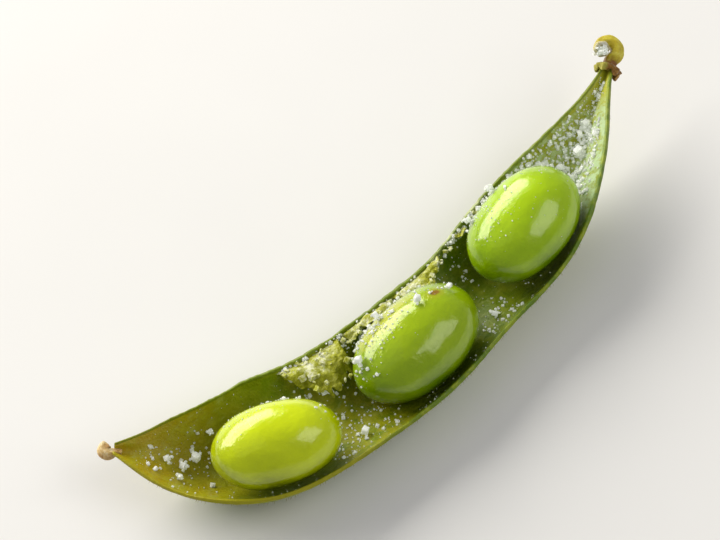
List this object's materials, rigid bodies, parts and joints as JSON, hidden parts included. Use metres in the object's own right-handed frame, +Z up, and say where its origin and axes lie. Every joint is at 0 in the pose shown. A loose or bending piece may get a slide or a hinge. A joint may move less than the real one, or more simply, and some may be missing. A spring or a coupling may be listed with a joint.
{
  "type": "edamame pod",
  "caption": "Cooked, salted edamame pod lying on its back valve, opened along its length to show its beans, with the calyx, hooked stalk and dried style still on.",
  "frame": {"origin": "on the resting surface, under the middle of the pod's bounding box", "axes": "+X runs along the pod from the style tip to the stalk, +Y is the pod's hollow side, +Z is up, out of the opened valve"},
  "size_m": [0.0756, 0.0212, 0.0118],
  "materials": {
    "pod_skin": "moist plant skin with fine hairs, satin",
    "bean": "cooked bean, glossy and moist",
    "dried_sepal": "dry, papery, matt",
    "stalk_skin": "yellowed stalk, satin",
    "salt": "coarse crystals, clear to white"
  },
  "bodies": {
    "root": {"back_valve": "pod_skin", "bean_near_tip": "bean", "bean_middle": "bean", "bean_near_stalk": "bean", "calyx": "dried_sepal", "stalk": "stalk_skin", "style_tip": "dried_sepal", "salt_on_valve_1": "salt", "salt_on_valve_2": "salt", "salt_on_valve_3": "salt", "salt_on_valve_4": "salt", "salt_on_valve_5": "salt", "salt_on_valve_6": "salt", "salt_on_valve_7": "salt", "salt_on_valve_8": "salt", "salt_on_valve_9": "salt", "salt_on_valve_10": "salt", "salt_on_valve_11": "salt", "salt_on_valve_12": "salt", "salt_on_valve_13": "salt", "salt_on_valve_14": "salt", "salt_on_bean_1": "salt", "salt_on_bean_2": "salt", "salt_on_bean_3": "salt", "salt_on_bean_4": "salt", "salt_on_bean_5": "salt", "salt_on_bean_6": "salt"}
  },
  "joints": []
}
